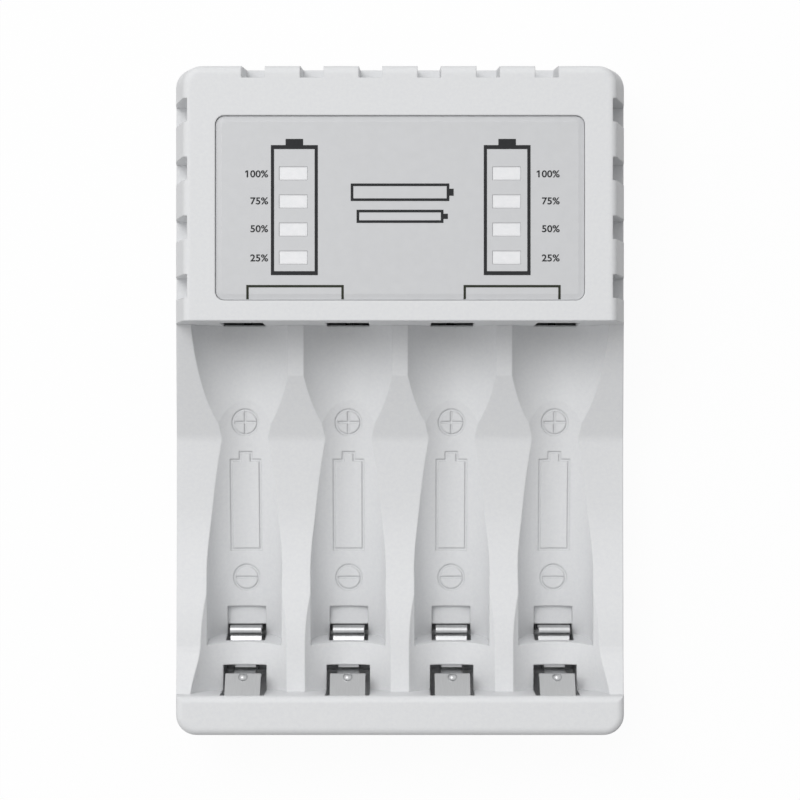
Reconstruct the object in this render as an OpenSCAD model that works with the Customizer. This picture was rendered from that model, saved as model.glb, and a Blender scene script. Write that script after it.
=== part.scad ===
// Four-bay AA and AAA battery charger, lying on its back.
// X runs across the bays, Y from the foot bar towards the head, Z up from the table.

/* [Body] */
// Width of the body at the parting line
body_w = 64.4; // [64:0.2:72]
// Length of the body at the parting line
body_l = 95; // [94.5:0.5:104]
// Height of the head's face above the table
head_h = 26; // [25:0.5:30]
// Height of the foot bar above the table
bar_h = 18.7; // [17.5:0.1:20]
// Length of the foot bar, from the foot end to the bays' end wall
bar_t = 6.3; // [6.2:0.1:8]
// Height of the parting line between the two shells
parting_z = 7; // [6:0.25:8]
// Plan radius of the body's corners at the parting line
corner_r = 3; // [2.9:0.1:4]
// Plan radius of the head's upper corners
head_corner_r = 2.6; // [2:0.1:3.5]
// Lean of the lower walls, in degrees
wall_draft = 4.3; // [3:0.1:5]
// Height at which the head's walls start to lean in further
shoulder_z = 17.5; // [16.5:0.25:18.5]
// Lean of the head's long walls, in degrees
side_draft = 12; // [10:0.5:13]
// Lean of the head's end wall, in degrees
end_draft = 4.8; // [4:0.2:6]
// Rounding of the upper outer edges
edge_r = 1.1; // [0.8:0.1:1.5]
// Rounding of the foot bar's edge over the bays
bar_edge_r = 0.9; // [0.5:0.1:1]
// Thickness of the moulded walls
wall = 1.6; // [1.3:0.1:1.9]
// Thickness of the head's face
face_t = 2.2; // [1.8:0.1:2.6]

/* [Cells] */
// Distance between neighbouring bays
cell_pitch = 14.8; // [14.8:0.05:15.2]
// Diameter of an AA cell
aa_d = 14.5; // [14:0.1:14.5]
// Length of an AA cell over its button
aa_l = 50.5; // [49:0.1:51]
// Diameter of an AAA cell
aaa_d = 10.5; // [10:0.1:10.8]
// Length of an AAA cell over its button
aaa_l = 44.5; // [43.5:0.1:45]
// Clearance round a cell in its channel
cell_gap = 0.1; // [0.05:0.01:0.14]
// Height of the AA channel's floor
aa_floor_z = 9.85; // [9.5:0.05:10.5]
// Downward tilt of the AAA channel towards the foot, in degrees
aaa_tilt = 9; // [8:0.25:9.5]
// How far the AAA channel's axis starts below the AA axis at the head
aaa_drop = 0.2; // [0:0.05:0.6]
// Room behind an AA cell for its spring contact
aa_room = 1.85; // [1.5:0.05:2.2]
// Room behind an AAA cell for its spring contact
aaa_room = 1.6; // [1.2:0.05:1.8]
// How far an AA cell pushes its spring contact back
aa_squeeze = 0.75; // [0.5:0.05:0.9]
// How far an AAA cell pushes its spring contact back
aaa_squeeze = 0.35; // [0.25:0.05:0.5]

/* [Ridges] */
// Height of the ridges above the AA floor at their lowest point
dip_rise = 0.25; // [0.15:0.05:0.8]
// Distance from the head wall to the lowest point of the ridges
dip_from_head = 16.8; // [15:0.1:18]
// Level run of the ridges from their lowest point towards the foot
rise_from = 9; // [7:0.5:12]
// Length of the climb that follows the level run
rise_l = 20; // [16:0.5:22]
// Height of that climb
rise_h = 3; // [2:0.1:3.2]
// Further climb of the outer margins at the foot bar
sweep_h = 3.2; // [2:0.1:3.3]
// Length of the margins' climb at the foot bar
sweep_l = 7; // [5:0.25:8]
// Climb of the ramp towards the head, in degrees
ramp_slope = 20; // [18:0.5:24]
// Radius that blends the ramp into the level run
dip_r = 3.5; // [2.5:0.5:8]
// Height of the ledges between the bays above the AA floor
ledge_rise = 3.5; // [2.8:0.05:4]
// Lean of the head's wall over the bays, in degrees
head_wall_draft = 1; // [0.5:0.25:2]

/* [Grip notches] */
// Distance between neighbouring notches
notch_pitch = 8.05; // [7.6:0.05:8.2]
// Width of a notch
notch_w = 3.2; // [2.4:0.1:4]
// Depth of the end notches at the head's face, measured in from the upper edge
end_notch_d = 1.6; // [1.2:0.1:1.9]
// Depth of the side notches at the head's face, measured in from the upper edge
side_notch_d = 0.45; // [0.2:0.05:0.8]
// Height of the floor of the notches
notch_z = 13.7; // [13.5:0.1:16]
// Notches along the head's end
end_notches = 6; // [4:2:6]
// Notches along each side of the head
side_notches = 4; // [3:1:4]
// Distance from the head wall to the first side notch
notch_start = 4.75; // [4:0.05:5.2]

/* [Indicator panel] */
// Width of the indicator panel
panel_w = 50.5; // [46:0.5:52]
// Height of the indicator panel along the body
panel_l = 25.2; // [23:0.2:26]
// Distance from the head wall's edge to the panel
panel_from_wall = 2.85; // [2.2:0.05:3.2]
// Thickness of the panel
panel_t = 0.7; // [0.5:0.05:0.9]
// How far the panel lies below the head's face
panel_sink = 0.2; // [0.1:0.05:0.3]
// Corner radius of the panel
panel_corner_r = 1.2; // [0.8:0.1:2]
// Width of the bevel round the panel
panel_bevel_w = 0.8; // [0.4:0.05:1]
// Drop of the bevel round the panel
panel_bevel_h = 0.14; // [0.05:0.01:0.2]
// Gap round the panel in its recess
panel_gap = 0.06; // [0.04:0.01:0.2]
// Width of an indicator window
window_w = 3.8; // [3:0.1:4.4]
// Height of an indicator window along the body
window_l = 1.75; // [1.4:0.05:2.2]
// Distance between neighbouring windows
window_pitch = 3.84; // [3.4:0.02:4.2]
// Distance of the two window columns from the centre line
window_x = 14.6; // [13:0.1:15.6]
// Distance from the panel's lower edge to the lowest window
window_start = 5.8; // [5:0.1:6.4]
// Gap round the windows in the panel
window_gap = 0.03; // [0.02:0.01:0.1]

/* [Contacts] */
// Thickness of the contact strip
strip_t = 0.4; // [0.3:0.05:0.5]
// Width of the AA contact's plate
aa_plate_w = 5; // [4.4:0.1:5.4]
// Width of the AA contact's stem
aa_stem_w = 3.2; // [2.6:0.1:4]
// Width of the AAA contact
aaa_plate_w = 4.5; // [4:0.1:4.8]
// Width of the AA contact's pocket
aa_pocket_w = 6.2; // [6:0.1:6.8]
// Width of the AAA contact's pocket
aaa_pocket_w = 5.6; // [5.4:0.1:6.2]
// Width of the opening for a cell's button
button_w = 6.1; // [5.9:0.1:7]
// Height of the opening for a cell's button
button_l = 10.5; // [10:0.1:11]

/* [Moulded signs] */
// Width of the engraved lines in the bays
sign_line = 0.34; // [0.25:0.01:0.45]
// Depth of the engraved lines
sign_d = 0.16; // [0.1:0.01:0.25]
// Outer radius of the rings round the plus and minus signs
sign_r = 1.95; // [1.6:0.05:2]
// Distance of the plus sign from the cells' plus end
plus_sign_at = 14.1; // [13:0.1:15]
// Distance of the minus sign from the cells' plus end
minus_sign_at = 36.6; // [36.3:0.1:37.2]
// Width of the engraved cell outline
outline_w = 4.5; // [3.6:0.1:4.8]
// Length of the engraved cell outline
outline_l = 13.25; // [11:0.25:13.5]

/* [Electronics] */
// Thickness of the circuit board
board_t = 1.6; // [1:0.1:1.8]
// Height of the board's underside
board_z = 12.6; // [12.2:0.1:12.8]
// Width of the power socket
socket_w = 8.94; // [8.6:0.02:9.4]
// Height of the power socket
socket_h = 3.26; // [3:0.02:3.5]
// Depth of the power socket
socket_l = 7.4; // [6.4:0.1:8]

/* [Hidden] */
$fn = 48;

bays = 4;
fit = 0.1;                 // clearance between pieces that sit in one another
over = 1;                  // how far a cutting shape runs past what it cuts
sky = head_h + 14;         // height that every upward cut reaches

// Lengthwise stations, from the foot end to the head end
foot_y = -body_l / 2;
end_wall_y = foot_y + bar_t;
plus_y = end_wall_y + aa_l + aa_room;
nub_sink = 0.2;            // how far the plus contacts lie behind the head wall's face
aa_r = aa_d / 2 + cell_gap;
aa_axis_z = aa_floor_z + aa_r;
aaa_r = aaa_d / 2 + cell_gap;
aaa_plus_z = aa_axis_z - aaa_drop;
aaa_bay_l = aaa_l + aaa_room;
dip_z = aa_floor_z + dip_rise;
ledge_z = aa_floor_z + ledge_rise;

// Face of the head wall over the bays, at height z
function head_wall_y(z) = plus_y - nub_sink + (z - aa_axis_z) * tan(head_wall_draft);
// Inner face of that wall, which the plus contacts lie against
head_in_y = head_wall_y(head_h) + wall * 0.8;
dip_y = head_wall_y(aa_axis_z) - dip_from_head;

// Outer half width and half length of the body at height z
function lean(z, draft) = (min(z, shoulder_z) - parting_z) * tan(wall_draft) + max(z - shoulder_z, 0) * tan(draft);
function side_x(z) = body_w / 2 - lean(z, side_draft);
function end_y(z) = body_l / 2 - lean(z, end_draft);
function bay_x(i) = (i - (bays - 1) / 2) * cell_pitch;

// Point on the AAA channel's axis, a distance s from the head
function aaa_axis(s) = [plus_y - s * cos(aaa_tilt), aaa_plus_z - s * sin(aaa_tilt)];

// Contacts: pivots lie in grooved rails on the cover's floor
cover_t = wall;
pivot_r = 0.8;             // outer radius of the rolled foot of a contact
rail_w = 3.2;              // width of a rail along the body
pivot_z = cover_t + pivot_r + 0.3;
aa_nose = [plus_y - aa_l + aa_squeeze, aa_floor_z + 4.7];
aa_pocket_y = plus_y - aa_l + 1.7;
aa_pocket_top = bar_h - 1.2;
aa_pivot = [aa_nose[0] + 0.35, pivot_z];
aaa_nose_z = aa_floor_z - 1.75;
aaa_face = aaa_axis(aaa_l);
aaa_nose = [aaa_face[0] + (aaa_face[1] - aaa_nose_z) * tan(aaa_tilt) + aaa_squeeze, aaa_nose_z];
aaa_pocket_y = aaa_nose[0] + 2.5;
aaa_pocket_end = aaa_nose[0] - 5;
aaa_pocket_top = aa_floor_z - 0.8;
aaa_pivot = [aaa_nose[0] - 0.3, pivot_z];
aaa_roll_r = 0.7;
// Shelf at the upper end of the AAA pocket, just under the channel's floor
aaa_shelf_y = aaa_nose[0] - 0.15;
aaa_floor_z = aaa_plus_z - (plus_y - aaa_pocket_y) * tan(aaa_tilt) - aaa_r / cos(aaa_tilt);
aaa_shelf_z = aaa_floor_z - 0.65;
aaa_shelf_t = 0.5;

// Grip notches: back walls at the head's face, and the inside of the head behind them
side_notch_x = side_x(head_h) - side_notch_d;
end_notch_y = end_y(head_h) - end_notch_d;
notch_back = wall * 0.7;
notch_lean = 3;            // lean of the notches' back walls, in degrees
cavity_x = side_notch_x - notch_back;
cavity_y = end_notch_y - notch_back;

// Head: panel, windows and what lies under them
panel_y = head_wall_y(head_h) + panel_from_wall + panel_l / 2;
recess_d = panel_t + panel_sink;
ceiling_z = head_h - face_t;
window_y0 = panel_y - panel_l / 2 + window_start;
windows = 4;
board_top = board_z + board_t;
board_w = 2 * cavity_x - 1.4;
board_y0 = head_in_y + strip_t + 0.3;
board_y1 = cavity_y - 0.5;
board_post_x = board_w / 2 - 3;
board_post_y = [board_y0 + 7.5, board_y1 - 9];
post_r = 2.4;
board_screw_grip = 4;      // how far the board screws reach into their posts
transistor_in = 6;         // distance of the transistors from the board's front edge
led_h = 0.7;
guide_w = window_w + 1.6;
guide_z = board_top + led_h + 0.3;
button_z0 = aa_axis_z + 2.85 - button_l;
socket_z = board_z - socket_h / 2;
socket_y1 = end_y(socket_z) - 0.4;

// Case screws
screw_r = 1;
screw_head_r = 1.7;
screw_head_h = 1.3;
screw_l = 8;
boss_r = 2.2;
head_sink = 1.1;           // how far the screw heads lie inside the cover's wells
well_h = head_sink + screw_head_h + 1.2;
screw_at = [
    for (sx = [-1, 1]) [sx * (side_x(bar_h) - wall - boss_r + 0.4), end_wall_y - wall - boss_r + 0.7],
    for (sx = [-1, 1]) [sx * (side_x(head_h) - wall - boss_r), end_y(head_h) - wall - boss_r]
];

shell_white = [0.86, 0.87, 0.88];
panel_grey = [0.78, 0.79, 0.8];
metal = [0.75, 0.75, 0.76];

// Runs a shape drawn in the YZ plane across the body
module across(width) {
    rotate([90, 0, 90]) linear_extrude(width, center = true) children();
}

// Disc with a rounded rim, for the edge of a rounded corner
module corner_disc(r, edge) {
    rotate_extrude($fn = 32) intersection() {
        translate([r - edge, 0]) circle(edge, $fn = 24);
        translate([0, -edge]) square([r, 2 * edge]);
    }
}

// Tapered block from the parting line up to height h, pulled in by inset, with a rounded upper edge
module tapered_block(h, inset, top_r, edge) {
    base_r = corner_r - inset;
    rim_z = h - edge;
    mid_z = min(shoulder_z, rim_z);
    mid_r = (base_r + top_r) / 2;
    hull() for (sx = [-1, 1], sy = [-1, 1]) {
        translate([sx * (body_w / 2 - corner_r), sy * (body_l / 2 - corner_r), parting_z])
            cylinder(r = base_r, h = 0.01, $fn = 32);
        translate([sx * (side_x(mid_z) - inset - mid_r), sy * (end_y(mid_z) - inset - mid_r), mid_z])
            cylinder(r = mid_r, h = 0.01, $fn = 32);
        translate([sx * (side_x(rim_z) - inset - top_r), sy * (end_y(rim_z) - inset - top_r), rim_z])
            corner_disc(top_r, edge);
    }
}

// Space in front of the head wall and behind the end wall, widened by g
module bay_outline(g) {
    head_face = g > 0 ? [[head_in_y, 0], [head_in_y, sky]] : [[head_wall_y(0), 0], [head_wall_y(sky), sky]];
    polygon([[end_wall_y - g, 0], head_face[0], head_face[1], [end_wall_y - g, sky]]);
}

// Smooth climb from 0 to 1, and the height of the ridges towards the foot with a further sweep at its end
function climb(t) = (1 - cos(180 * min(max(t, 0), 1))) / 2;
function ridge_z(y, sweep) = dip_z + rise_h * climb((dip_y - rise_from - y) / rise_l)
    + 2 * sweep * climb((end_wall_y + sweep_l - y) / sweep_l / 2);

// Air above the ridges: the climb to the foot, the ramp to the head and the blend between, lowered by g
module scoop_outline(g, sweep) {
    blend = [dip_y, dip_z + dip_r];
    steps = 8;
    round_dip = [
        for (k = [0 : steps]) let (a = k * ramp_slope / steps) blend + (dip_r + g) * [sin(a), -cos(a)]
    ];
    foot_steps = 40;
    foot_last = end_wall_y - 2 * wall;
    foot_run = [
        for (k = [foot_steps : -1 : 1]) let (y = dip_y + (foot_last - dip_y) * k / foot_steps)
            [y, ridge_z(y, sweep) - g]
    ];
    run = body_l;
    foot_end = [-run, ridge_z(-run, sweep) - g];
    head_end = round_dip[steps] + run * [cos(ramp_slope), sin(ramp_slope)];
    top = sky + run;
    polygon(concat([foot_end], foot_run, round_dip, [head_end, [head_end[0], top], [-run, top]]));
}

// Scooped air of one strip of the body, a given width at a given place across
module scoop_strip(g, at, width, sweep) {
    translate([at, 0, 0]) across(width) intersection() {
        scoop_outline(g, sweep);
        translate([-body_l, 0]) square([2 * body_l, sky + over]);
    }
}

// The ridges lie between the outer bays' middles, the margins outside of them
module scoop(g) {
    middle = bay_x(bays - 1);
    margin = body_w / 2 + 2 * over - middle + 0.5;
    scoop_strip(g, 0, 2 * middle, 0);
    for (sx = [-1, 1]) scoop_strip(g, sx * (middle - 0.5 + margin / 2), margin, sweep_h);
}

// The ridges between the bays stop at a level ledge under the head
module ledges(g) {
    translate([bay_x(0), dip_y, ledge_z - g])
        cube([bay_x(bays - 1) - bay_x(0), body_l, sky]);
}

// Round-bottomed channel along Y, open upwards, from its own origin towards the foot
module channel(r, length, rise) {
    mouth = r * 0.995;
    rotate([90, 0, 0]) linear_extrude(length) {
        circle(r, $fn = 96);
        translate([-mouth, 0]) square([2 * mouth, rise]);
    }
}

module aa_channel(g) {
    translate([0, plus_y + wall * 2, aa_axis_z]) channel(aa_r + g, body_l, sky);
}

module aaa_channel(g) {
    lead = 2 * wall;
    translate([0, plus_y, aaa_plus_z]) rotate([aaa_tilt, 0, 0]) translate([0, lead, 0])
        channel(aaa_r + g, aaa_bay_l + lead + g, sky + over);
}

// Keeps a shape to the space between the end wall and the head wall
module in_bays(g) {
    intersection() {
        children();
        across(body_w + 2 * over) bay_outline(g);
    }
}

// Outer form of the upper shell: the full head, and the foot bar with its own rounded edge
module shell_form() {
    low_out = -0.05;
    intersection() {
        tapered_block(head_h, 0, head_corner_r, edge_r);
        union() {
            tapered_block(bar_h, low_out, head_corner_r + 0.3, edge_r);
            translate([-body_w, end_wall_y + over, 0]) cube([2 * body_w, body_l, sky]);
        }
    }
}

// Hollow of the upper shell before the bays are moulded into it
module shell_hollow() {
    intersection() {
        translate([0, 0, -over / 100]) tapered_block(ceiling_z, wall, head_corner_r - 0.8, 0.6);
        union() {
            translate([-body_w, -body_l, 0]) cube([2 * body_w, body_l + head_in_y, bar_h - wall]);
            translate([-body_w, head_in_y, 0]) cube([2 * body_w, body_l, notch_z - wall]);
            translate([-cavity_x, head_in_y, 0]) cube([2 * cavity_x, cavity_y - head_in_y, sky]);
        }
    }
}

// Slot down an upper edge, with a leaning back wall and a level floor
module notch(back) {
    foot = back + (head_h - notch_z) * tan(notch_lean);
    reach = body_w;
    rotate([90, 0, 0]) linear_extrude(notch_w, center = true)
        polygon([[back, head_h + over], [back, head_h], [foot, notch_z], [reach, notch_z], [reach, head_h + over]]);
}

module grip_notches() {
    for (i = [0 : side_notches - 1], sx = [0, 1]) mirror([sx, 0, 0])
        translate([0, head_wall_y(head_h) + notch_start + i * notch_pitch, 0]) notch(side_notch_x);
    for (i = [0 : end_notches - 1])
        translate([(i - (end_notches - 1) / 2) * notch_pitch, 0, 0]) rotate([0, 0, 90]) notch(end_notch_y);
}

// Rounded plate, drawn flat
module round_plate(w, l, r) {
    translate([-w / 2 + r, -l / 2]) square([w - 2 * r, l]);
    translate([-w / 2, -l / 2 + r]) square([w, l - 2 * r]);
    for (sx = [-1, 1], sy = [-1, 1]) translate([sx * (w / 2 - r), sy * (l / 2 - r)]) circle(r);
}

// One column of window shapes, drawn flat, each larger by g all round
module window_column(g) {
    for (i = [0 : windows - 1])
        translate([-window_w / 2 - g, window_y0 + i * window_pitch - window_l / 2 - g])
            square([window_w + 2 * g, window_l + 2 * g]);
}

module stadium(w, h) {
    square([w - h, h], center = true);
    for (s = [-1, 1]) translate([s * (w - h) / 2, 0]) circle(d = h);
}

// Corner of air that rounds the foot bar's edge over the bays
module bar_rounding() {
    steps = 8;
    centre = [end_wall_y - bar_edge_r, bar_h - bar_edge_r];
    arc = [for (k = [0 : steps]) centre + bar_edge_r * [cos(k * 90 / steps), sin(k * 90 / steps)]];
    across(body_w + 3 * over) polygon(concat(arc, [[centre[0], bar_h + over], [end_wall_y + over, bar_h + over],
        [end_wall_y + over, centre[1]]]));
}

// Pockets through the bay floors and the end wall for the spring contacts, with a stop behind each AA contact
module contact_pockets() {
    stop_w = 3;
    stop_l = 0.5;
    stop_drop = 0.9;
    for (i = [0 : bays - 1]) translate([bay_x(i), 0, 0]) {
        difference() {
            translate([-aa_pocket_w / 2, end_wall_y - wall - over, 0])
                cube([aa_pocket_w, aa_pocket_y - end_wall_y + wall + over, aa_pocket_top]);
            translate([-stop_w / 2, aa_pocket_y - stop_l, 0]) cube([stop_w, stop_l + over, aa_floor_z - stop_drop]);
        }
        translate([-aaa_pocket_w / 2, aaa_pocket_end, 0])
            cube([aaa_pocket_w, aaa_shelf_y - aaa_pocket_end, aaa_pocket_top]);
        translate([-aaa_pocket_w / 2, aaa_shelf_y - over, aaa_shelf_z])
            cube([aaa_pocket_w, aaa_pocket_y - aaa_shelf_y + over, aaa_pocket_top - aaa_shelf_z - 0.1]);
        translate([-aaa_pocket_w / 2, aaa_shelf_y - over, over])
            cube([aaa_pocket_w, aaa_pocket_y - aaa_shelf_y + over, aaa_shelf_z - aaa_shelf_t - over]);
        translate([-button_w / 2, head_wall_y(button_z0), button_z0])
            cube([button_w, head_in_y - head_wall_y(button_z0) + 2 * over, button_l]);
        translate([-button_w / 2, head_wall_y(button_z0) + 0.15, parting_z])
            cube([button_w, head_in_y - head_wall_y(button_z0) + over, button_l]);
    }
}

// Cell outline of the signs, drawn flat and pulled in by g
module outline_shape(g) {
    half_w = outline_w / 2 - g;
    nub_w = 0.95 - g;
    low = plus_y - (plus_sign_at + minus_sign_at) / 2 - outline_l / 2 - 0.66;
    high = low + outline_l - g;
    tip = high + 1.1;
    polygon([[-half_w, low + g], [half_w, low + g], [half_w, high], [nub_w, high], [nub_w, tip], [-nub_w, tip],
             [-nub_w, high], [-half_w, high]]);
}

// Plus sign, cell outline and minus sign of one bay, drawn flat
module bay_signs() {
    bar = sign_r - 1.2 * sign_line;
    for (at = [plus_sign_at, minus_sign_at]) translate([0, plus_y - at]) {
        difference() {
            circle(sign_r);
            circle(sign_r - sign_line);
        }
        square([2 * bar, sign_line], center = true);
    }
    translate([0, plus_y - plus_sign_at]) square([sign_line, 2 * bar], center = true);
    difference() {
        outline_shape(0);
        outline_shape(sign_line);
    }
}

// Signs engraved in the floor of one bay's AAA channel
module sign_cuts() {
    intersection() {
        linear_extrude(aa_axis_z) bay_signs();
        aaa_channel(sign_d);
    }
}

module shell_bosses() {
    boss_z = well_h + fit;
    intersection() {
        for (p = screw_at) translate([p[0], p[1], boss_z]) cylinder(r = boss_r, h = head_h);
        union() {
            shell_form();
            translate([-body_w / 2 + wall, -body_l / 2 + wall, 0]) cube([body_w - 2 * wall, body_l - 2 * wall, parting_z]);
        }
    }
    for (sx = [-1, 1], y = board_post_y) translate([sx * board_post_x, y, board_top])
        cylinder(r = post_r, h = ceiling_z - board_top + over / 2);
}

// Floor and sides of one bay's two channels, before their air is cut out
module bay_floor() {
    low = [2 * cell_pitch, body_l, aa_axis_z - 1];
    intersection() {
        in_bays(wall) aa_channel(wall);
        translate([-cell_pitch, -body_l / 2, 0]) cube(low);
    }
    intersection() {
        in_bays(wall) aaa_channel(wall);
        translate([-cell_pitch, -body_l / 2, 0]) cube(low);
    }
}

module top_shell() {
    color(shell_white) difference() {
        union() {
            difference() {
                shell_form();
                shell_hollow();
            }
            intersection() {
                shell_form();
                in_bays(wall) {
                    scoop(wall);
                    ledges(wall);
                }
            }
            for (i = [0 : bays - 1]) translate([bay_x(i), 0, 0]) bay_floor();
            shell_bosses();
        }
        in_bays(0) {
            scoop(0);
            ledges(0);
        }
        for (i = [0 : bays - 1]) translate([bay_x(i), 0, 0]) {
            in_bays(0) aa_channel(0);
            in_bays(0) aaa_channel(0);
            sign_cuts();
        }
        bar_rounding();
        contact_pockets();
        grip_notches();
        translate([0, panel_y, head_h - recess_d]) linear_extrude(recess_d + over)
            round_plate(panel_w + 2 * panel_gap, panel_l + 2 * panel_gap, panel_corner_r + panel_gap);
        for (sx = [-1, 1]) translate([sx * window_x, 0, ceiling_z - over]) linear_extrude(face_t + 2 * over)
            window_column(window_gap);
        translate([0, board_y1, socket_z]) rotate([-90, 0, 0]) linear_extrude(body_l)
            stadium(socket_w + 0.4, socket_h + 0.4);
        for (p = screw_at) translate([p[0], p[1], 0]) cylinder(r = screw_r + 0.03, h = well_h + screw_l);
        for (sx = [-1, 1], y = board_post_y) translate([sx * board_post_x, y, board_z])
            cylinder(r = screw_r + 0.03, h = board_t + 5);
    }
}

// Tray under the body: rounded below, hollow above, with rails for the contacts' feet
module cover_form(inset, floor_z) {
    lean = 0.4;
    edge = min(0.9, corner_r - inset - lean);
    hull() for (sx = [-1, 1], sy = [-1, 1]) translate([sx * (body_w / 2 - corner_r), sy * (body_l / 2 - corner_r), 0]) {
        translate([0, 0, parting_z - 0.01]) cylinder(r = corner_r - inset, h = 0.01, $fn = 32);
        translate([0, 0, floor_z + edge]) corner_disc(corner_r - inset - lean, edge);
    }
}

module contact_rail(pivot) {
    rail_l = bay_x(bays - 1) - bay_x(0) + aa_pocket_w;
    difference() {
        translate([-rail_l / 2, pivot[0] - rail_w / 2, cover_t - over / 2])
            cube([rail_l, rail_w, pivot[1] - cover_t + over / 2]);
        translate([-rail_l / 2 - over, pivot[0], pivot[1]]) rotate([0, 90, 0])
            cylinder(r = pivot_r + fit, h = rail_l + 2 * over);
        for (i = [0 : bays - 1]) translate([bay_x(i) - 0.9, pivot[0], cover_t]) cube([1.8, rail_w, rail_w]);
    }
}

// Flat ring that follows the body's outline, between two distances in from its edge
module outline_ring(out, in) {
    least_r = 0.1;
    difference() {
        round_plate(body_w - 2 * out, body_l - 2 * out, max(corner_r - out, least_r));
        round_plate(body_w - 2 * in, body_l - 2 * in, max(corner_r - in, least_r));
    }
}

// Thin rim that rises inside the upper shell and keeps the two shells in line
module cover_lip() {
    lip_h = 1.2;
    root_h = 1.5;
    lip_out = wall + 0.3;
    lip_in = lip_out + 0.9;
    translate([0, 0, parting_z - root_h]) linear_extrude(root_h - fit) outline_ring(wall - 0.4, lip_in);
    translate([0, 0, parting_z - 0.5]) linear_extrude(0.5 + lip_h) outline_ring(lip_out, lip_in);
}

module bottom_cover() {
    color(shell_white) difference() {
        union() {
            difference() {
                cover_form(0, 0);
                translate([0, 0, 0.01]) cover_form(wall, cover_t);
            }
            cover_lip();
            for (p = screw_at) translate([p[0], p[1], cover_t / 2]) cylinder(r = boss_r, h = well_h - cover_t / 2);
            contact_rail(aa_pivot);
            contact_rail(aaa_pivot);
        }
        for (p = screw_at) translate([p[0], p[1], well_h]) cylinder(r = boss_r + 0.3, h = parting_z);
        for (p = screw_at) translate([p[0], p[1], -over]) {
            cylinder(r = screw_r + fit, h = well_h + 2 * over);
            cylinder(r = screw_head_r + fit, h = head_sink + screw_head_h + over);
        }
    }
}

// Air over the bevel round the panel, on the panel's own level
module panel_bevel() {
    r = panel_corner_r;
    past = 0.1;
    drop = panel_bevel_h * (panel_bevel_w + past) / panel_bevel_w;
    edge = [[r - panel_bevel_w, panel_t], [r + past, panel_t - drop], [r + past, panel_t + over],
            [r - panel_bevel_w, panel_t + over]];
    half_w = panel_w / 2 - r;
    half_l = panel_l / 2 - r;
    for (turn = [0, 180]) rotate(turn) {
        translate([0, half_l, 0]) rotate([90, 0, 90]) linear_extrude(2 * half_w, center = true) polygon(edge);
        translate([half_w, 0, 0]) rotate([90, 0, 0]) linear_extrude(2 * half_l, center = true) polygon(edge);
        translate([half_w, half_l, 0]) rotate_extrude(angle = 90) polygon(edge);
        translate([-half_w, half_l, 0]) rotate(90) rotate_extrude(angle = 90) polygon(edge);
    }
}

module indicator_panel() {
    color(panel_grey) translate([0, panel_y, head_h - recess_d]) difference() {
        linear_extrude(panel_t) round_plate(panel_w, panel_l, panel_corner_r);
        panel_bevel();
        for (sx = [-1, 1]) translate([sx * window_x, -panel_y, -over]) linear_extrude(panel_t + 2 * over)
            window_column(window_gap);
    }
}

// Milky block that carries the light of four lamps up to its windows
module light_guide(sx) {
    column_l = (windows - 1) * window_pitch + window_l + 1.6;
    color([0.95, 0.95, 0.95, 0.9]) translate([sx * window_x, 0, 0]) {
        translate([-guide_w / 2, window_y0 - window_l / 2 - 0.8, guide_z])
            cube([guide_w, column_l, ceiling_z - guide_z]);
        translate([0, 0, ceiling_z - over]) linear_extrude(head_h - panel_sink - ceiling_z + over)
            window_column(0);
    }
}
module light_guide_left() { light_guide(-1); }
module light_guide_right() { light_guide(1); }

module circuit_board() {
    corner = screw_at[3];
    color("darkgreen") difference() {
        translate([-board_w / 2, board_y0, board_z]) cube([board_w, board_y1 - board_y0, board_t]);
        for (sx = [0, 1]) mirror([sx, 0, 0])
            translate([corner[0] - boss_r - 0.4, corner[1] - boss_r - 0.4, board_z - over])
                cube([board_w, body_l, board_t + 2 * over]);
        for (sx = [-1, 1], y = board_post_y) translate([sx * board_post_x, y, board_z - over])
            cylinder(r = screw_r + fit, h = board_t + 2 * over);
    }
}

module indicator_leds() {
    led = [1.6, 0.8, led_h];
    color("ivory") for (sx = [-1, 1], i = [0 : windows - 1])
        translate([sx * window_x - led[0] / 2, window_y0 + i * window_pitch - led[1] / 2, board_top]) cube(led);
}

// Chip with a row of legs down each long side, under the board
module control_chip() {
    body = [10, 3.9, 1.5];
    legs = 8;
    leg_pitch = 1.27;
    y = (board_y0 + board_y1) / 2;
    color([0.15, 0.15, 0.16]) translate([0, y, board_z]) mirror([0, 0, 1]) {
        translate([-body[0] / 2, -body[1] / 2, 0.15]) cube(body);
        for (i = [0 : legs - 1], s = [-1, 1])
            translate([(i - (legs - 1) / 2) * leg_pitch - 0.2, s > 0 ? body[1] / 2 - 0.2 : -body[1] / 2 - 0.8, 0])
                cube([0.4, 1, 0.3]);
    }
}

module power_transistors() {
    package = [4.9, 3.9, 1.6];
    color([0.15, 0.15, 0.16]) for (sx = [-1, 1])
        translate([sx * window_x - package[0] / 2, board_y0 + transistor_in, board_z - package[2]]) cube(package);
}

// Upright can capacitor under the board, beside the socket
module smoothing_capacitor() {
    can_r = 3.15;
    can_h = 5.6;
    color([0.2, 0.22, 0.3]) translate([socket_w / 2 + can_r + 2.5, board_y1 - can_r - 1, board_z - can_h])
        cylinder(r = can_r, h = can_h);
}

module power_socket_shell() {
    skin = 0.3;
    color(metal) translate([0, socket_y1 - socket_l, socket_z]) rotate([-90, 0, 0]) difference() {
        linear_extrude(socket_l) stadium(socket_w, socket_h);
        translate([0, 0, skin * 2]) linear_extrude(socket_l) stadium(socket_w - 2 * skin, socket_h - 2 * skin);
    }
}

module power_socket_tongue() {
    skin = 0.3;
    tongue = [6.6, 0.7, socket_l - 1.2];
    color([0.12, 0.12, 0.13]) translate([0, socket_y1 - socket_l + 2 * skin, socket_z]) rotate([-90, 0, 0])
        translate([-tongue[0] / 2, -tongue[1] / 2, 0]) cube(tongue);
}

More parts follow.
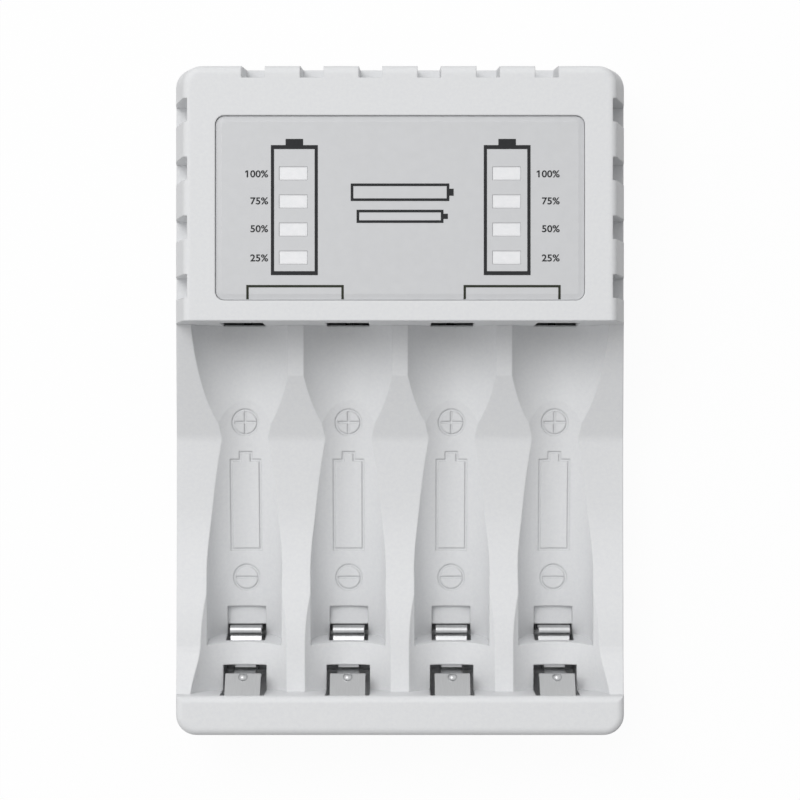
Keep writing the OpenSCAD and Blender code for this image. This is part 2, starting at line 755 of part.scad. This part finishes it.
// Insulated wires from the spring contacts' feet, along the cover's floor and up to the board
module return_leads() {
    lead_r = 0.6;
    turn_r = 2.5;
    lead_z = cover_t + lead_r + fit;
    y0 = aaa_pivot[0] + pivot_r + 0.3;
    y1 = board_y0 + 3;
    color([0.15, 0.15, 0.17]) for (i = [0 : bays - 1]) translate([bay_x(i), 0, 0]) {
        translate([0, y0, lead_z]) rotate([-90, 0, 0]) cylinder(r = lead_r, h = y1 - turn_r - y0);
        translate([0, y1 - turn_r, lead_z + turn_r]) rotate([0, 90, 0]) rotate_extrude(angle = 90)
            translate([turn_r, 0]) circle(lead_r);
        translate([0, y1, lead_z + turn_r]) cylinder(r = lead_r, h = board_z - lead_z - turn_r);
    }
}

// Pan-head screw standing on its head
module pan_screw(length) {
    cylinder(r = screw_head_r, h = screw_head_h);
    translate([0, 0, screw_head_h]) cylinder(r = screw_r, h = length);
}

module case_screws() {
    color("silver") for (p = screw_at) translate([p[0], p[1], head_sink]) pan_screw(screw_l);
}

module board_screws() {
    color("silver") for (sx = [-1, 1], y = board_post_y)
        translate([sx * board_post_x, y, board_z - screw_head_h]) pan_screw(board_t + board_screw_grip);
}

// Fixed contact: a plate against the inside of the head wall, a pressed button and a foot on the board
module plus_contact(i) {
    plate_w = button_w - 0.8;
    plate_z1 = ceiling_z - 1;
    plate_z0 = button_z0 + 0.6;
    button_r = 2.1;
    foot_l = 2.4;
    room = cavity_x - fit - bay_x(bays - 1);   // from an outer bay's middle to the inside of the head
    half_w = min(plate_w / 2 + 1, room);
    color(metal) translate([bay_x(i), 0, 0]) {
        translate([-half_w, head_in_y, plate_z0]) cube([2 * half_w, strip_t, plate_z1 - plate_z0]);
        translate([0, head_in_y + strip_t / 2, aa_axis_z - 0.4]) rotate([90, 0, 0])
            cylinder(r1 = button_r + 0.4, r2 = button_r - 0.4, h = head_in_y - plus_y + strip_t / 2, $fn = 48);
        translate([-plate_w / 4, head_in_y, board_top]) cube([plate_w / 2, strip_t + 0.3 + foot_l, strip_t]);
    }
}
module plus_contact_1() { plus_contact(0); }
module plus_contact_2() { plus_contact(1); }
module plus_contact_3() { plus_contact(2); }
module plus_contact_4() { plus_contact(3); }

// Straight run of strip between two points of a side view
module strip_run(a, b) {
    d = b - a;
    translate(a) rotate(atan2(d[1], d[0])) translate([0, -strip_t / 2]) square([norm(d), strip_t]);
    for (p = [a, b]) translate(p) circle(d = strip_t, $fn = 24);
}

// Round bend of strip about a centre, from angle a0 to a1
module strip_bend(centre, r, a0, a1) {
    far = 2 * r + strip_t;
    mid = (a0 + a1) / 2;
    translate(centre) intersection() {
        difference() {
            circle(r + strip_t / 2);
            circle(r - strip_t / 2);
        }
        polygon([[0, 0], far * [cos(a0), sin(a0)], far * 1.5 * [cos(mid), sin(mid)], far * [cos(a1), sin(a1)]]);
    }
}

// Spring leaf with a rolled foot, a slim stem, a nose and a plate that leads the cell in
module aa_contact(i) {
    shoulder = [aa_nose[0] - 0.35, aa_nose[1] - 1.6];
    lead_end = [end_wall_y - 0.2, aa_pocket_top - 0.8];
    dimple_r = 0.7;
    dimple_at = aa_nose * 0.84 + lead_end * 0.16;
    color(metal) translate([bay_x(i), 0, 0]) {
        translate([-aa_stem_w / 2, aa_pivot[0], aa_pivot[1]]) rotate([0, 90, 0]) cylinder(r = pivot_r, h = aa_stem_w);
        across(aa_stem_w) strip_run(aa_pivot, shoulder);
        across(aa_plate_w) {
            strip_run(shoulder, aa_nose);
            strip_run(aa_nose, lead_end);
        }
        translate([0, dimple_at[0], dimple_at[1]]) sphere(dimple_r, $fn = 32);
    }
}
module aa_contact_1() { aa_contact(0); }
module aa_contact_2() { aa_contact(1); }
module aa_contact_3() { aa_contact(2); }
module aa_contact_4() { aa_contact(3); }

// Spring leaf with a rolled foot, a sloping blade, a rolled nose and a tail tucked under the floor
module aaa_contact(i) {
    roll = [aaa_nose[0] - aaa_roll_r, aaa_nose[1]];
    mid_r = aaa_roll_r - strip_t / 2;
    knee = [roll[0] + 0.1, aaa_pivot[1] + 2.6];
    front = roll + mid_r * [cos(-40), sin(-40)];
    back = roll - [mid_r, 0];
    tail = [roll[0] - 2.3, roll[1] - 0.5];
    heel = [back[0] - 0.25, roll[1] - 0.8];
    color(metal) translate([bay_x(i), 0, 0]) {
        translate([-aaa_plate_w / 2, aaa_pivot[0], aaa_pivot[1]]) rotate([0, 90, 0])
            cylinder(r = pivot_r, h = aaa_plate_w);
        across(aaa_plate_w) {
            strip_run(aaa_pivot, knee);
            strip_run(knee, front);
            strip_bend(roll, mid_r, -40, 70);
            strip_bend(roll, mid_r, 70, 180);
            strip_run(back, heel);
            strip_run(heel, tail);
        }
    }
}
module aaa_contact_1() { aaa_contact(0); }
module aaa_contact_2() { aaa_contact(1); }
module aaa_contact_3() { aaa_contact(2); }
module aaa_contact_4() { aaa_contact(3); }

top_shell();
bottom_cover();
indicator_panel();
light_guide_left();
light_guide_right();
circuit_board();
indicator_leds();
control_chip();
power_transistors();
smoothing_capacitor();
power_socket_shell();
power_socket_tongue();
return_leads();
board_screws();
case_screws();
plus_contact_1();
plus_contact_2();
plus_contact_3();
plus_contact_4();
aa_contact_1();
aa_contact_2();
aa_contact_3();
aa_contact_4();
aaa_contact_1();
aaa_contact_2();
aaa_contact_3();
aaa_contact_4();
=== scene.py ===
# %% [markdown]
# # A charger for AA and AAA cells
# The charger lies flat on its back: four stepped bays with sprung contacts, and a raised head
# with a grey panel that shows the charge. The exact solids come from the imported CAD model, and
# this lesson dresses them: plastics and metals first, then the thin print on the panel.

import bmesh
import bpy
from mathutils import Matrix, Vector


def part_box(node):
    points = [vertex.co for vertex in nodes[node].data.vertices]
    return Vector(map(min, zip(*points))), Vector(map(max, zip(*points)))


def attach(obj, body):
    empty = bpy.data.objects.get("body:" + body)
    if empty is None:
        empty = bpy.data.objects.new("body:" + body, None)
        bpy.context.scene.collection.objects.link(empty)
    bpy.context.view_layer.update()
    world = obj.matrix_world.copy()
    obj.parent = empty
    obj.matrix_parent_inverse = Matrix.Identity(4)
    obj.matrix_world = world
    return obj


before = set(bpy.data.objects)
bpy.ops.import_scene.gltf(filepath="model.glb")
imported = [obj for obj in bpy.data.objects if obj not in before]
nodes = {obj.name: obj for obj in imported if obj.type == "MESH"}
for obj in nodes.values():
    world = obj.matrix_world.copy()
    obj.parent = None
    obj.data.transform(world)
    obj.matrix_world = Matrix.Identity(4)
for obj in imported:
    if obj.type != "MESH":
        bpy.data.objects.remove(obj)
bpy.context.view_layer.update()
MM = 0.001

# %% [markdown]
# ## The camera
# The photograph looks straight down on the charger from about a third of a metre, through a
# long lens: the walls spread a little towards the edges of the frame. A camera with no turn
# already looks down with +Y up, so only its place and its lens have to be set. The lens follows
# from the focal length in pixels of the square photograph.

# %% Camera
SENSOR_MM = 36
PHOTO_PIXELS = 800
FOCAL_PIXELS = 2470
CAMERA_PLACE_MM = (0, 0.255, 364)
camera_data = bpy.data.cameras.new("overhead_camera")
camera_data.sensor_width = SENSOR_MM
camera_data.lens = SENSOR_MM * FOCAL_PIXELS / PHOTO_PIXELS
camera = bpy.data.objects.new("overhead_camera", camera_data)
camera.location = Vector(CAMERA_PLACE_MM) * MM
bpy.context.scene.collection.objects.link(camera)
bpy.context.scene.camera = camera
print("camera lens", round(camera_data.lens, 1), "mm")

# %% [markdown]
# ## Light
# One large soft lamp stands up and to the left, behind the head, so the left walls are nearly as
# bright as the top and the right walls fall into shade. A pale world fills the shadows, a little
# brighter on the lamp's side. It is plain white to the camera and to mirrors, so the metal shows a
# white studio.

# %% Lamp and world
LAMP_PLACE = (-0.33, 0.39, 1.09)
FILL = 0.61
TOWARDS_WINDOW = (-0.5, 0.6, 0)
WHITE = (1, 1, 1, 1)

lamp_data = bpy.data.lights.new("window_lamp", "AREA")
lamp_data.shape = "DISK"
lamp_data.size = 0.6
lamp_data.energy = 4.5
lamp = bpy.data.objects.new("window_lamp", lamp_data)
lamp.location = Vector(LAMP_PLACE)
lamp.rotation_euler = (-lamp.location).to_track_quat("-Z", "Y").to_euler()
bpy.context.scene.collection.objects.link(lamp)
bpy.context.scene.view_settings.view_transform = "Standard"


def put(tree, kind, settings=None, **inputs):
    """Adds a node. An input goes by its name, or by i and its number: a value, or an output."""
    made = tree.nodes.new(kind)
    for name, value in (settings or {}).items():
        setattr(made, name, value)
    for name, value in inputs.items():
        numbered = name[0] == "i" and name[1:].isdigit()
        socket = made.inputs[int(name[1:]) if numbered else name.replace("_", " ")]
        if isinstance(value, bpy.types.NodeSocket):
            tree.links.new(value, socket)
        else:
            socket.default_value = value
    return made


def seen_plainly(tree):
    """One for rays from the eye, from mirrors and through glass, nought for light on things."""
    path = put(tree, "ShaderNodeLightPath")
    first = put(tree, "ShaderNodeMath", {"operation": "MAXIMUM"},
                i0=path.outputs["Is Camera Ray"], i1=path.outputs["Is Glossy Ray"])
    both = put(tree, "ShaderNodeMath", {"operation": "MAXIMUM"},
               i0=first.outputs[0], i1=path.outputs["Is Transmission Ray"])
    return both.outputs[0]


world = bpy.data.worlds.new("white_studio")
world.use_nodes = True
bpy.context.scene.world = world
sky = world.node_tree
sky.nodes.clear()
way = put(sky, "ShaderNodeTexCoord").outputs["Generated"]
slant = put(sky, "ShaderNodeVectorMath", {"operation": "DOT_PRODUCT"}, i0=way, i1=TOWARDS_WINDOW)
fill_light = put(sky, "ShaderNodeMath", {"operation": "MULTIPLY_ADD"},
                 i0=slant.outputs["Value"], i1=FILL, i2=FILL)
level = put(sky, "ShaderNodeMix", {"data_type": "FLOAT"},
            i0=seen_plainly(sky), i2=fill_light.outputs[0], i3=1.0)
backdrop = put(sky, "ShaderNodeBackground", Color=WHITE, Strength=level.outputs[0])
put(sky, "ShaderNodeOutputWorld", Surface=backdrop.outputs[0])
print("lamp", lamp_data.energy, "W, fill", FILL)

# %% [markdown]
# ## The floor
# A pale sheet under the charger. To the eye it is almost white, and a small part of it stays an
# ordinary matt surface so that the soft shadow still lies on it. It throws little light back, so
# the charger's walls darken towards the table.

# %% Floor
FLOOR_HALF = 2
WHITE_SHARE = 0.95
DIM_GREY = (0.25, 0.25, 0.25, 1)
PALE_GREY = (0.95, 0.95, 0.95, 1)

sheet_mesh = bpy.data.meshes.new("floor_sheet")
sheet = bmesh.new()
bmesh.ops.create_grid(sheet, x_segments=1, y_segments=1, size=FLOOR_HALF)
sheet.to_mesh(sheet_mesh)
sheet.free()
floor = bpy.data.objects.new("floor_sheet", sheet_mesh)
bpy.context.scene.collection.objects.link(floor)
paper = bpy.data.materials.new("white_paper")
paper.use_nodes = True
tree = paper.node_tree
tree.nodes.clear()
matt = put(tree, "ShaderNodeBsdfDiffuse", Color=DIM_GREY)
pale = put(tree, "ShaderNodeBsdfDiffuse", Color=PALE_GREY)
plain_white = put(tree, "ShaderNodeEmission", Color=WHITE, Strength=1.0)
mostly_white = put(tree, "ShaderNodeMixShader",
                   Fac=WHITE_SHARE, i1=pale.outputs[0], i2=plain_white.outputs[0])
either = put(tree, "ShaderNodeMixShader",
             Fac=seen_plainly(tree), i1=matt.outputs[0], i2=mostly_white.outputs[0])
put(tree, "ShaderNodeOutputMaterial", Surface=either.outputs[0])
sheet_mesh.materials.append(paper)
print("floor laid")

# %% [markdown]
# ## Materials
# Each material starts from what it is on the real charger. Colours are written as the sRGB
# values that the eye reads, and one function turns them into the linear values that the
# shader wants.


# %% Colour and grain helpers
def srgb(text):
    """Linear colour of an sRGB hex value such as #DADBDC."""
    parts = [int(text[i:i + 2], 16) / 255 for i in (1, 3, 5)]
    return (*[c / 12.92 if c <= 0.04045 else ((c + 0.055) / 1.055) ** 2.4 for c in parts], 1)


def per_mm(size):
    """Noise scale, in cycles per metre, of a grain that is size millimetres wide."""
    return 1000 / size


def new_finish(name):
    """A new material, its node tree, its shader and the Object coordinates for its patterns."""
    finish = bpy.data.materials.new(name)
    finish.use_nodes = True
    shader = finish.node_tree.nodes["Principled BSDF"]
    place = put(finish.node_tree, "ShaderNodeTexCoord").outputs["Object"]
    return finish, finish.node_tree, shader, place


def toned(tree, fac, low, high):
    """Two close colours spread over a pattern."""
    ramp = put(tree, "ShaderNodeValToRGB", Fac=fac)
    first, last = ramp.color_ramp.elements
    first.position, last.position = 0.3, 0.7
    first.color, last.color = srgb(low), srgb(high)
    return ramp.outputs[0]


# %% [markdown]
# ### Moulded ABS
# The case is white ABS, moulded in a spark-eroded tool: a fine, even grain that breaks up the
# gloss. The grain on the real case is about 0.15 mm, too fine for the picture, so it is drawn at
# 0.5 mm. A Bevel node rounds the shading of every edge, as a moulding has no knife edges.

# %% White ABS
abs_white, tree, shader, place = new_finish("moulded_white_abs")
grain = put(tree, "ShaderNodeTexNoise", Vector=place, Scale=per_mm(0.5), Detail=2.0, Roughness=0.6)
tree.links.new(toned(tree, grain.outputs[0], "#E1E2E4", "#E5E6E7"), shader.inputs["Base Color"])
soft_edge = put(tree, "ShaderNodeBevel", {"samples": 6}, Radius=0.3 * MM)
texture = put(tree, "ShaderNodeBump", Strength=0.25, Distance=0.02 * MM, Height=grain.outputs[0],
              Normal=soft_edge.outputs[0])
tree.links.new(texture.outputs[0], shader.inputs["Normal"])
shader.inputs["Roughness"].default_value = 0.52
shader.inputs["IOR"].default_value = 1.53

# %% [markdown]
# ### The panel
# The indicator panel is a smooth, slightly darker sheet of polycarbonate with softly rounded
# edges. It has no moulded grain, only a faint unevenness.

# %% Grey polycarbonate
panel_grey, tree, shader, place = new_finish("grey_polycarbonate")
haze = put(tree, "ShaderNodeTexNoise", Vector=place, Scale=per_mm(1.2), Detail=3.0)
tree.links.new(toned(tree, haze.outputs[0], "#CDCED0", "#D0D1D3"), shader.inputs["Base Color"])
soft_edge = put(tree, "ShaderNodeBevel", {"samples": 8}, Radius=0.15 * MM)
tree.links.new(soft_edge.outputs[0], shader.inputs["Normal"])
shader.inputs["Roughness"].default_value = 0.42
shader.inputs["IOR"].default_value = 1.58

# %% [markdown]
# ### Light guides
# The windows are the ends of milky acrylic guides. Unlit, they look almost white, with a faint
# cloudiness from the filler that spreads the light.

# %% Milky acrylic
milky, tree, shader, place = new_finish("milky_acrylic")
cloud = put(tree, "ShaderNodeTexNoise", Vector=place, Scale=per_mm(0.9), Detail=2.0)
tree.links.new(toned(tree, cloud.outputs[0], "#EFF0F2", "#F4F4F6"), shader.inputs["Base Color"])
shader.inputs["Roughness"].default_value = 0.3
shader.inputs["IOR"].default_value = 1.49
shader.inputs["Subsurface Weight"].default_value = 0.2
shader.inputs["Subsurface Radius"].default_value = (1.0, 1.0, 1.0)
shader.inputs["Subsurface Scale"].default_value = 0.5 * MM

# %% [markdown]
# ### Nickel-plated strip
# The contacts are stamped from spring steel and plated with bright nickel, a grey mirror that is
# a little dulled. The rolling of the strip leaves faint lines along it, so the noise is stretched
# along the strip's length.

# %% Nickel
nickel, tree, shader, place = new_finish("nickel_plated_strip")
along = put(tree, "ShaderNodeMapping", Vector=place, Scale=(1.0, 0.06, 0.06))
lines = put(tree, "ShaderNodeTexNoise", Vector=along.outputs[0], Scale=per_mm(0.12), Detail=2.0)
tree.links.new(toned(tree, lines.outputs[0], "#B9BABB", "#BFC0C1"), shader.inputs["Base Color"])
soft_edge = put(tree, "ShaderNodeBevel", {"samples": 4}, Radius=0.12 * MM)
rolled = put(tree, "ShaderNodeBump", Strength=0.05, Distance=0.01 * MM, Height=lines.outputs[0],
             Normal=soft_edge.outputs[0])
tree.links.new(rolled.outputs[0], shader.inputs["Normal"])
shader.inputs["Metallic"].default_value = 1.0
shader.inputs["Roughness"].default_value = 0.36

# %% [markdown]
# ### Plain finishes
# The socket and the screws are plated steel, the packages are filled black epoxy, the board is
# glass laminate under green lacquer. Most of them are hardly seen, but each gets a finish of its
# own. The two inks of the panel's print are made the same way, and they shine less than the rest.


# %% Steel, epoxy, board, wire, lamps and ink
def simple_finish(name, low, high, grain_mm, roughness, metallic=0.0, ior=1.5):
    """A finish of two close colours over a fine grain that also roughens the surface."""
    finish, tree, shader, place = new_finish(name)
    speck = put(tree, "ShaderNodeTexNoise", Vector=place, Scale=per_mm(grain_mm), Detail=3.0)
    tree.links.new(toned(tree, speck.outputs[0], low, high), shader.inputs["Base Color"])
    bump = put(tree, "ShaderNodeBump", Strength=0.15, Distance=0.02 * MM, Height=speck.outputs[0])
    tree.links.new(bump.outputs[0], shader.inputs["Normal"])
    shader.inputs["Roughness"].default_value = roughness
    shader.inputs["Metallic"].default_value = metallic
    shader.inputs["IOR"].default_value = ior
    return finish


INK_IOR = 1.36
steel = simple_finish("drawn_plated_steel", "#AEADAC", "#C3C2C1", 0.3, 0.3, 1.0)
zinc = simple_finish("zinc_plated_screw", "#9A9B9D", "#B4B5B6", 0.25, 0.38, 1.0)
epoxy = simple_finish("moulded_black_epoxy", "#1F2022", "#292A2C", 0.2, 0.6)
laminate = simple_finish("lacquered_green_board", "#17452B", "#1E5233", 0.8, 0.4)
aluminium = simple_finish("drawn_aluminium_can", "#B9BBBE", "#CBCDD0", 0.3, 0.35, 1.0)
sleeve = simple_finish("black_wire_sleeve", "#1B1C1E", "#232426", 0.5, 0.5)
resin = simple_finish("clear_lamp_resin", "#E9E4CC", "#F2EEDC", 0.4, 0.25)
ink = simple_finish("dark_grey_ink", "#222325", "#27282A", 0.3, 0.7, ior=INK_IOR)
olive_ink = simple_finish("dark_olive_ink", "#25281E", "#2A2E23", 0.3, 0.7, ior=INK_IOR)
print(len(bpy.data.materials), "materials")

# %% [markdown]
# ## Dressing the solids
# Every solid gets its finish. Those that the table leaves out are the contacts, all of nickel.

# %% Dress the solids
finish_of = {
    "top_shell": abs_white, "bottom_cover": abs_white, "indicator_panel": panel_grey,
    "light_guide_left": milky, "light_guide_right": milky, "circuit_board": laminate,
    "indicator_leds": resin, "control_chip": epoxy, "power_transistors": epoxy,
    "smoothing_capacitor": aluminium, "power_socket_shell": steel, "power_socket_tongue": epoxy,
    "return_leads": sleeve, "board_screws": zinc, "case_screws": zinc,
}
for name, solid in nodes.items():
    solid.data.materials.clear()
    solid.data.materials.append(finish_of.get(name, nickel))
print("finishes on", len(nodes), "solids")

# %% [markdown]
# ## Print on the panel
# The panel carries two plain cell outlines round the windows, the charge in per cent beside
# them, and two brackets that tie each column to its pair of bays. Print is a film of ink, so
# each mark is drawn as flat bars, in millimetres, and raised by a few hundredths of one. Heights
# on the panel are counted from its lower edge.

# %% Bars of ink
panel_low, panel_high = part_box("indicator_panel")
panel_z = panel_high.z / MM
panel_y = panel_low.y / MM
INK = 0.03


def bar(drawing, x0, y0, x1, y1):
    """A flat bar between two corners."""
    made = bmesh.ops.create_grid(drawing, x_segments=1, y_segments=1, size=0.5)["verts"]
    bmesh.ops.scale(drawing, vec=(x1 - x0, y1 - y0, 1), verts=made)
    bmesh.ops.translate(drawing, vec=((x0 + x1) / 2, (y0 + y1) / 2, 0), verts=made)


def outline(drawing, x0, y0, x1, y1, side, end):
    """Four bars round a rectangle: its two ends, and its two sides between them."""
    bar(drawing, x0, y0, x1, y0 + end)
    bar(drawing, x0, y1 - end, x1, y1)
    bar(drawing, x0, y0 + end, x0 + side, y1 - end)
    bar(drawing, x1 - side, y0 + end, x1, y1 - end)


def ink_up(drawing):
    """Gives a flat drawing the thickness of ink and lays it on the panel."""
    raised = bmesh.ops.extrude_face_region(drawing, geom=drawing.faces[:])["geom"]
    tops = [v for v in raised if isinstance(v, bmesh.types.BMVert)]
    bmesh.ops.translate(drawing, vec=(0, 0, INK), verts=tops)
    bmesh.ops.recalc_face_normals(drawing, faces=drawing.faces[:])
    bmesh.ops.translate(drawing, vec=(0, 0, panel_z), verts=drawing.verts[:])


def add_print(name, mesh, colour):
    """Makes a mesh a piece of print that rides on the case."""
    mesh.materials.clear()
    mesh.materials.append(colour)
    piece = bpy.data.objects.new(name, mesh)
    bpy.context.scene.collection.objects.link(piece)
    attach(piece, "case")
    print(name, len(mesh.polygons), "faces")


def finish_drawing(name, drawing, colour):
    """Turns a drawing into a piece of print."""
    mesh = bpy.data.meshes.new(name)
    bmesh.ops.scale(drawing, vec=(MM, MM, MM), verts=drawing.verts[:])
    drawing.to_mesh(mesh)
    drawing.free()
    add_print(name, mesh, colour)


# %% [markdown]
# ### Cell outlines
# Each column of windows stands in the outline of a cell, with its button on top.

# %% Cell outlines
ICON_SPANS = {"left": (-17.68, -11.25), "right": (11.47, 17.87)}
ICON_FOOT, ICON_TOP = 3.4, 21.2
ICON_SIDE, ICON_END = 0.44, 0.54
ICON_BUTTON_W, ICON_BUTTON_H = 2.4, 0.85

for side, (x0, x1) in ICON_SPANS.items():
    icon = bmesh.new()
    middle, top = (x0 + x1) / 2, panel_y + ICON_TOP
    outline(icon, x0, panel_y + ICON_FOOT, x1, top, ICON_SIDE, ICON_END)
    bar(icon, middle - ICON_BUTTON_W / 2, top, middle + ICON_BUTTON_W / 2, top + ICON_BUTTON_H)
    ink_up(icon)
    finish_drawing("cell_icon_" + side, icon, ink)

# %% [markdown]
# ### Brackets
# The brackets' legs run down over the panel's bevelled edge, so each leg is in two lengths and
# its foot is lowered onto the bevel.

# %% Brackets
BRACKET_SPANS = {"left": (-21.05, -7.7), "right": (8.7, 22.0)}
BRACKET_FOOT, BRACKET_TOP, BRACKET_LINE = 0.1, 2.05, 0.33
BEVEL, BEVEL_DROP = 0.8, 0.14

for side, (x0, x1) in BRACKET_SPANS.items():
    bracket = bmesh.new()
    bottom, fold, top = panel_y + BRACKET_FOOT, panel_y + BEVEL, panel_y + BRACKET_TOP
    bar(bracket, x0, top - BRACKET_LINE, x1, top)
    for leg in (x0, x1 - BRACKET_LINE):
        bar(bracket, leg, fold, leg + BRACKET_LINE, top - BRACKET_LINE)
        bar(bracket, leg, bottom, leg + BRACKET_LINE, fold)
    ink_up(bracket)
    feet = [v for v in bracket.verts if v.co.y < bottom + INK]
    drop = BEVEL_DROP * (fold - bottom) / BEVEL
    bmesh.ops.translate(bracket, vec=(0, 0, -drop), verts=feet)
    finish_drawing("bay_bracket_" + side, bracket, olive_ink)

# %% [markdown]
# ### Cell pictograms
# Between the two columns the panel shows which cells fit: a longer and a shorter plain outline,
# each with its button on the right.

# %% Cell pictograms
AA_SIGN = {"rise": 14.75, "length": 13.5, "width": 2.4}
AAA_SIGN = {"rise": 11.45, "length": 11.9, "width": 1.8}
SIGN_LINE, SIGN_BUTTON = 0.36, 0.6

signs = bmesh.new()
for sign in (AA_SIGN, AAA_SIGN):
    y, half_l, half_w = panel_y + sign["rise"], sign["length"] / 2, sign["width"] / 2
    outline(signs, -half_l, y - half_w, half_l, y + half_w, SIGN_LINE, SIGN_LINE)
    button_half = sign["width"] / 5
    bar(signs, half_l, y - button_half, half_l + SIGN_BUTTON, y + button_half)
ink_up(signs)
finish_drawing("cell_pictograms", signs, ink)

# %% [markdown]
# ### Charge in per cent
# The numbers are ordinary lettering. A text object is turned into a mesh at once, so that its
# place is in its points like every other piece. The font's 1 is a bare bar, so the short stroke
# at its head is drawn beside it: a bar that leans down to the left.

# %% Numbers
NUMBER_RISES = {100: 17.21, 75: 13.51, 50: 9.7, 25: 5.7}
NUMBER_ENDS = {"left": -18.05, "right": 21.87}
NUMBER_SIZE, NUMBER_WIDEN, NUMBER_BOLD = 1.33, 1.11, 0.022
STROKE, STROKE_LEAN, STROKE_OVERLAP = 0.2, 0.7, 0.01
STEM_EDGE = 0.05


def add_number(name, words, right_end, y):
    """Right-aligned lettering on the panel."""
    curve = bpy.data.curves.new(name, "FONT")
    curve.body = words
    curve.size = NUMBER_SIZE * MM
    curve.align_x = "RIGHT"
    curve.align_y = "CENTER"
    curve.extrude = INK / 2 * MM
    curve.offset = NUMBER_BOLD * MM
    curve.resolution_u = 4
    text = bpy.data.objects.new(name + "_curve", curve)
    bpy.context.scene.collection.objects.link(text)
    bpy.context.view_layer.update()
    evaluated = text.evaluated_get(bpy.context.evaluated_depsgraph_get())
    mesh = bpy.data.meshes.new_from_object(evaluated)
    bpy.data.objects.remove(text)
    widened = Matrix.Diagonal((NUMBER_WIDEN, 1, 1, 1))
    mesh.transform(Matrix.Translation(Vector((right_end, y, panel_z + INK / 2)) * MM) @ widened)
    add_print(name, mesh, ink)
    return mesh


def add_head_stroke(name, lettering):
    """The stroke at the head of a 1 that begins a number."""
    left = min(v.co.x for v in lettering.vertices) / MM
    stem = [v.co.y for v in lettering.vertices if v.co.x / MM < left + STEM_EDGE]
    stroke = bmesh.new()
    bar(stroke, -STROKE, -STROKE, STROKE_OVERLAP, 0)
    lean = Matrix(((1, 0, 0, 0), (STROKE_LEAN, 1, 0, 0), (0, 0, 1, 0), (0, 0, 0, 1)))
    bmesh.ops.transform(stroke, matrix=lean, verts=stroke.verts[:])
    bmesh.ops.translate(stroke, vec=(left, max(stem) / MM, 0), verts=stroke.verts[:])
    ink_up(stroke)
    finish_drawing(name, stroke, ink)


for share, rise in NUMBER_RISES.items():
    for side, right_end in NUMBER_ENDS.items():
        lettering = add_number(f"charge_{share}_{side}", f"{share}%", right_end, panel_y + rise)
        if share == 100:
            add_head_stroke(f"charge_{share}_{side}_stroke", lettering)
